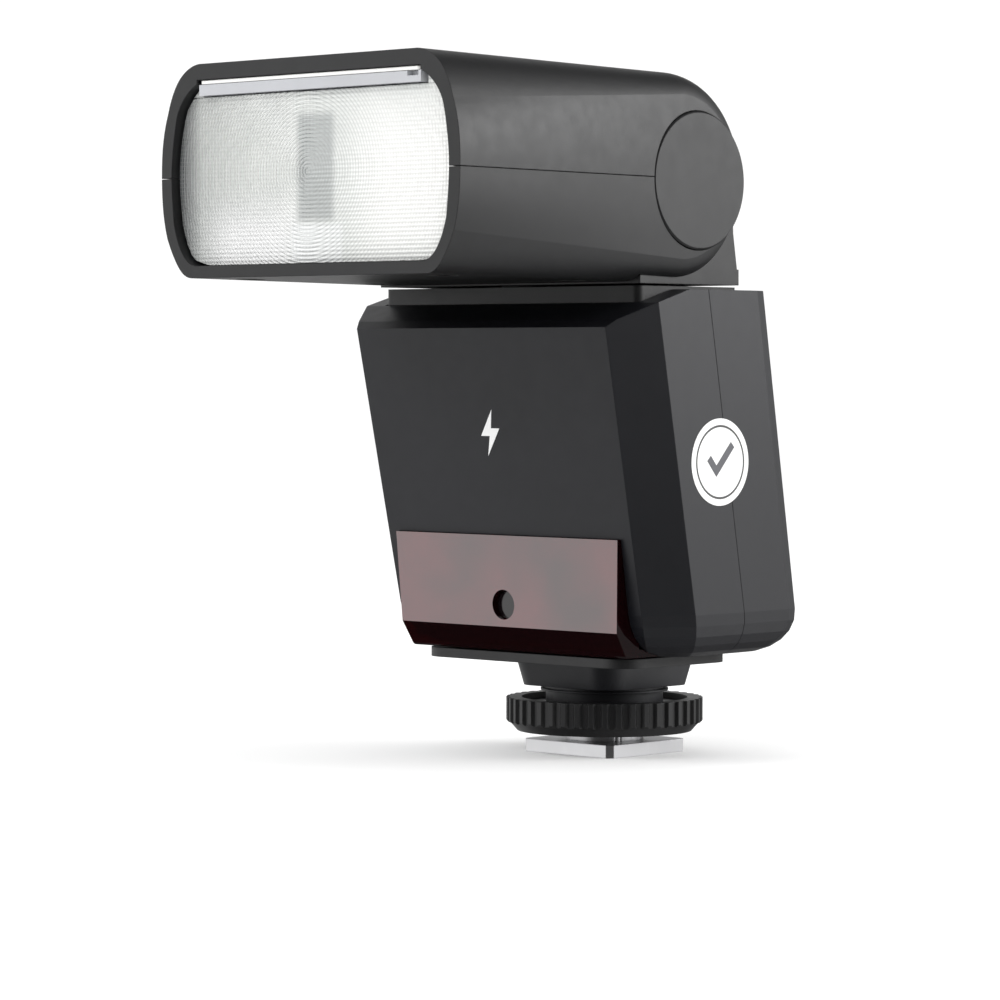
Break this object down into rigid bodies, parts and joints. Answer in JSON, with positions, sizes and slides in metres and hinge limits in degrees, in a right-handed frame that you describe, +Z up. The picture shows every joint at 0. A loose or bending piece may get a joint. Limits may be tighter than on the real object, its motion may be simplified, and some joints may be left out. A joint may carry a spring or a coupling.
{
  "type": "speedlight flash",
  "caption": "Shoe-mount electronic flash: zooming head that tilts and swivels on a neck, forward-leaning battery body with rear controls, and a screw-locked foot.",
  "frame": {"origin": "middle of the underside of the shoe foot", "axes": "+Z up from the foot, light leaves towards -Y, +X to the left hand of a person standing behind the flash"},
  "size_m": [0.0622, 0.0822, 0.105],
  "materials": {
    "black_shell": "fine satin grain",
    "black_control": "satin",
    "inner_plastic": "plain moulded",
    "red_window": "gloss, deep red filter",
    "clear_lens": "clear, finely ribbed",
    "white_card": "matt white",
    "bright_metal": "bright",
    "tube_glass": "clear",
    "steel": "plated",
    "gold_contact": "plated",
    "cell_case": "sleeved can",
    "board": "lacquered board",
    "lcd_glass": "gloss",
    "rubber": "silicone",
    "lamp": "tinted",
    "sticker": "printed film"
  },
  "bodies": {
    "base": {"front_shell": "black_shell", "rear_shell": "black_shell", "af_window": "red_window", "slave_sensor": "lamp", "af_lamp": "lamp", "base_plate": "black_shell", "body_screws": "steel", "battery_box": "inner_plastic", "battery_cells": "cell_case", "battery_contacts": "gold_contact", "main_capacitor": "cell_case", "main_pcb": "board", "control_pcb": "board", "lcd_module": "lcd_glass", "lcd_window": "lcd_glass", "keypad_membrane": "rubber", "ready_lamp": "lamp", "foot_neck": "black_shell", "foot_plate": "steel", "foot_screws": "steel", "shoe_pcb": "board", "swivel_base": "black_shell", "inspection_sticker": "sticker"},
    "neck": {"yoke": "black_shell", "neck_drum": "black_shell", "swivel_retainer": "inner_plastic", "pivot_cap_left": "black_shell", "pivot_cap_right": "black_shell", "pivot_screws": "steel", "tilt_detents": "steel"},
    "head": {"head_top_shell": "black_shell", "head_bottom_shell": "black_shell", "fresnel_lens": "clear_lens", "panel_cassette": "inner_plastic", "zoom_chassis": "inner_plastic", "guide_rods": "steel", "zoom_motor": "steel", "head_screws": "steel"},
    "panel": {"wide_panel": "clear_lens"},
    "card": {"bounce_card": "white_card"},
    "carriage": {"zoom_carriage": "inner_plastic", "reflector": "bright_metal", "flash_tube": "tube_glass", "tube_sleeves": "rubber"},
    "screw": {"lead_screw": "steel"},
    "door": {"battery_door": "black_shell", "door_contacts": "gold_contact"},
    "latch": {"battery_latch": "black_control"},
    "mode_key": {"button_mode": "black_control"},
    "zoom_key": {"button_zoom": "black_control"},
    "sync_key": {"button_sync": "black_control"},
    "light_key": {"button_light": "black_control"},
    "test_key": {"button_test": "black_control"},
    "set_key": {"button_set": "black_control"},
    "dial": {"select_dial": "black_control"},
    "switch": {"power_switch": "black_control"},
    "ring": {"lock_ring": "black_shell"},
    "clamp": {"pressure_plate": "steel"},
    "pin": {"lock_pin": "steel"},
    "contacts": {"contact_pins": "gold_contact"}
  },
  "joints": [
    {"name": "head_swivel", "type": "hinge", "parent": "base", "child": "neck", "pos_m": [0, -0.012, 0.07245], "axis": [0, 0, 1], "range_deg": [-180, 90]},
    {"name": "head_tilt", "type": "hinge", "parent": "neck", "child": "head", "pos_m": [0, -0.012, 0.088], "axis": [-1, 0, 0], "range_deg": [0, 90]},
    {"name": "wide_panel_slide", "type": "slide", "parent": "head", "child": "panel", "axis": [0, -1, 0], "range_m": [0, 0.03]},
    {"name": "bounce_card_slide", "type": "slide", "parent": "head", "child": "card", "axis": [0, -1, 0], "range_m": [0, 0.03]},
    {"name": "zoom_slide", "type": "slide", "parent": "head", "child": "carriage", "axis": [0, 1, 0], "range_m": [0, 0.012]},
    {"name": "zoom_screw_turn", "type": "hinge", "parent": "head", "child": "screw", "pos_m": [0.0244, -0.04, 0.092], "axis": [0, 1, 0], "range_deg": [0, 2160.1]},
    {"name": "battery_door_hinge", "type": "hinge", "parent": "base", "child": "door", "pos_m": [-0.0294, -0.00573, 0.04927], "axis": [0, 0.9869, 0.1614], "range_deg": [0, 90]},
    {"name": "battery_latch_slide", "type": "slide", "parent": "door", "child": "latch", "axis": [0, -0.1614, 0.9869], "range_m": [0, 0.002]},
    {"name": "mode_press", "type": "slide", "parent": "base", "child": "mode_key", "axis": [0, -0.9869, -0.1614], "range_m": [0, 0.0005], "stiffness_N_per_m": 8},
    {"name": "zoom_press", "type": "slide", "parent": "base", "child": "zoom_key", "axis": [0, -0.9869, -0.1614], "range_m": [0, 0.0005], "stiffness_N_per_m": 8},
    {"name": "sync_press", "type": "slide", "parent": "base", "child": "sync_key", "axis": [0, -0.9869, -0.1614], "range_m": [0, 0.0005], "stiffness_N_per_m": 8},
    {"name": "light_press", "type": "slide", "parent": "base", "child": "light_key", "axis": [0, -0.9869, -0.1614], "range_m": [0, 0.0005], "stiffness_N_per_m": 8},
    {"name": "test_press", "type": "slide", "parent": "base", "child": "test_key", "axis": [0, -0.9869, -0.1614], "range_m": [0, 0.0005], "stiffness_N_per_m": 8},
    {"name": "set_press", "type": "slide", "parent": "base", "child": "set_key", "axis": [0, -0.9869, -0.1614], "range_m": [0, 0.0003], "stiffness_N_per_m": 8},
    {"name": "dial_turn", "type": "hinge", "parent": "base", "child": "dial", "pos_m": [0, 0.0156, 0.03533], "axis": [0, 0.9869, 0.1614], "continuous": true},
    {"name": "power_switch_slide", "type": "slide", "parent": "base", "child": "switch", "axis": [0, -0.1614, 0.9869], "range_m": [0, 0.004]},
    {"name": "lock_ring_turn", "type": "hinge", "parent": "base", "child": "ring", "pos_m": [0, 0, 0.006], "axis": [0, 0, 1], "range_deg": [0, 120]},
    {"name": "clamp_slide", "type": "slide", "parent": "base", "child": "clamp", "axis": [0, 0, -1], "range_m": [0, 0.0008]},
    {"name": "lock_pin_slide", "type": "slide", "parent": "base", "child": "pin", "axis": [0, 0, -1], "range_m": [0, 0.0016]},
    {"name": "contact_slide", "type": "slide", "parent": "base", "child": "contacts", "axis": [0, 0, -1], "range_m": [0, 0.0005]}
  ],
  "couplings": [
    {"joint": "zoom_screw_turn", "follows": "zoom_slide", "rad_per_m": 3141.6},
    {"joint": "clamp_slide", "follows": "lock_ring_turn", "m_per_rad": 0.00038193},
    {"joint": "lock_pin_slide", "follows": "lock_ring_turn", "m_per_rad": 0.00076387}
  ]
}
